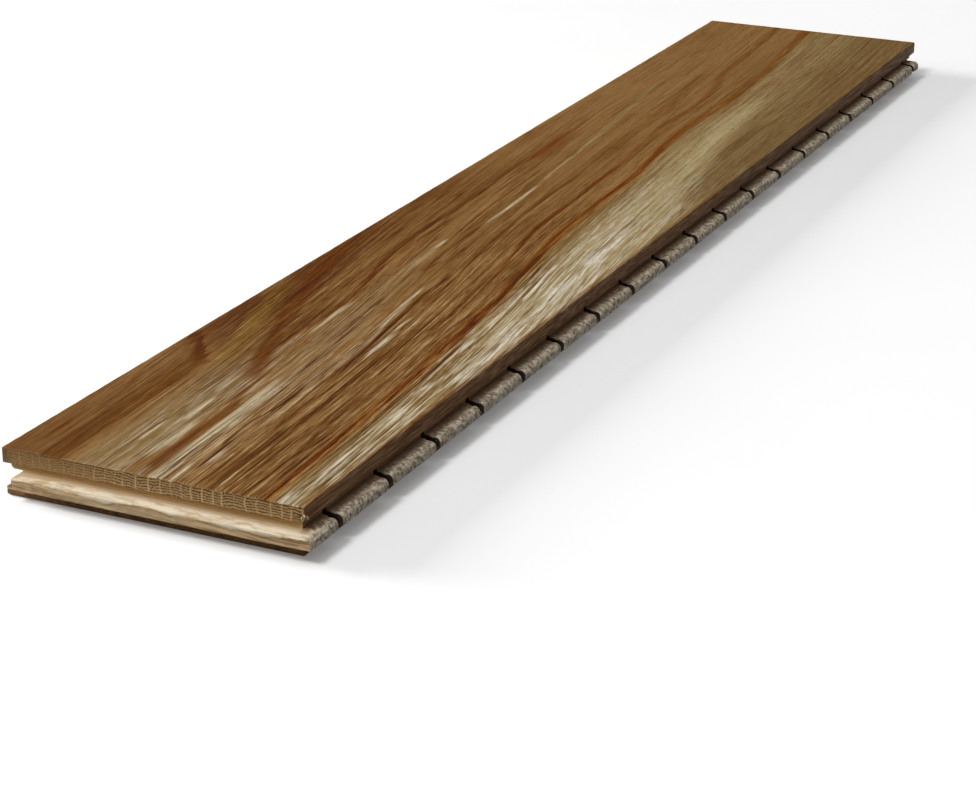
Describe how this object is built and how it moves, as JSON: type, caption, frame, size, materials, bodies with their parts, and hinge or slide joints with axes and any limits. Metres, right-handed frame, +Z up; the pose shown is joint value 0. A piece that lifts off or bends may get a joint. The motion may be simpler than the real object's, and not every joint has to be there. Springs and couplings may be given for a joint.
{
  "type": "wide plank engineered floorboard",
  "caption": "Straight floorboard with an oak wear layer, a core of crosswise softwood slats and a softwood back; tongue and groove on sides and ends.",
  "frame": {"origin": "middle of the underside, on the floor", "axes": "+Z up through the face, +Y along the board from its end tongue to its end groove, +X across it from its side groove to its side tongue"},
  "size_m": [0.1355, 0.756, 0.02],
  "materials": {
    "oak": "planed and oiled brown oak, grain along the board, satin",
    "core_softwood": "sawn and milled bare softwood, grain across the board",
    "back_softwood": "sawn bare softwood veneer, grain along the board"
  },
  "bodies": {
    "root": {"oak_wear_layer": "oak", "tongue_end_slat": "core_softwood", "core_slat_01": "core_softwood", "core_slat_02": "core_softwood", "core_slat_03": "core_softwood", "core_slat_04": "core_softwood", "core_slat_05": "core_softwood", "core_slat_06": "core_softwood", "core_slat_07": "core_softwood", "core_slat_08": "core_softwood", "core_slat_09": "core_softwood", "core_slat_10": "core_softwood", "core_slat_11": "core_softwood", "core_slat_12": "core_softwood", "core_slat_13": "core_softwood", "core_slat_14": "core_softwood", "core_slat_15": "core_softwood", "core_slat_16": "core_softwood", "core_slat_17": "core_softwood", "core_slat_18": "core_softwood", "groove_end_slat": "core_softwood", "back_layer": "back_softwood"}
  },
  "joints": []
}
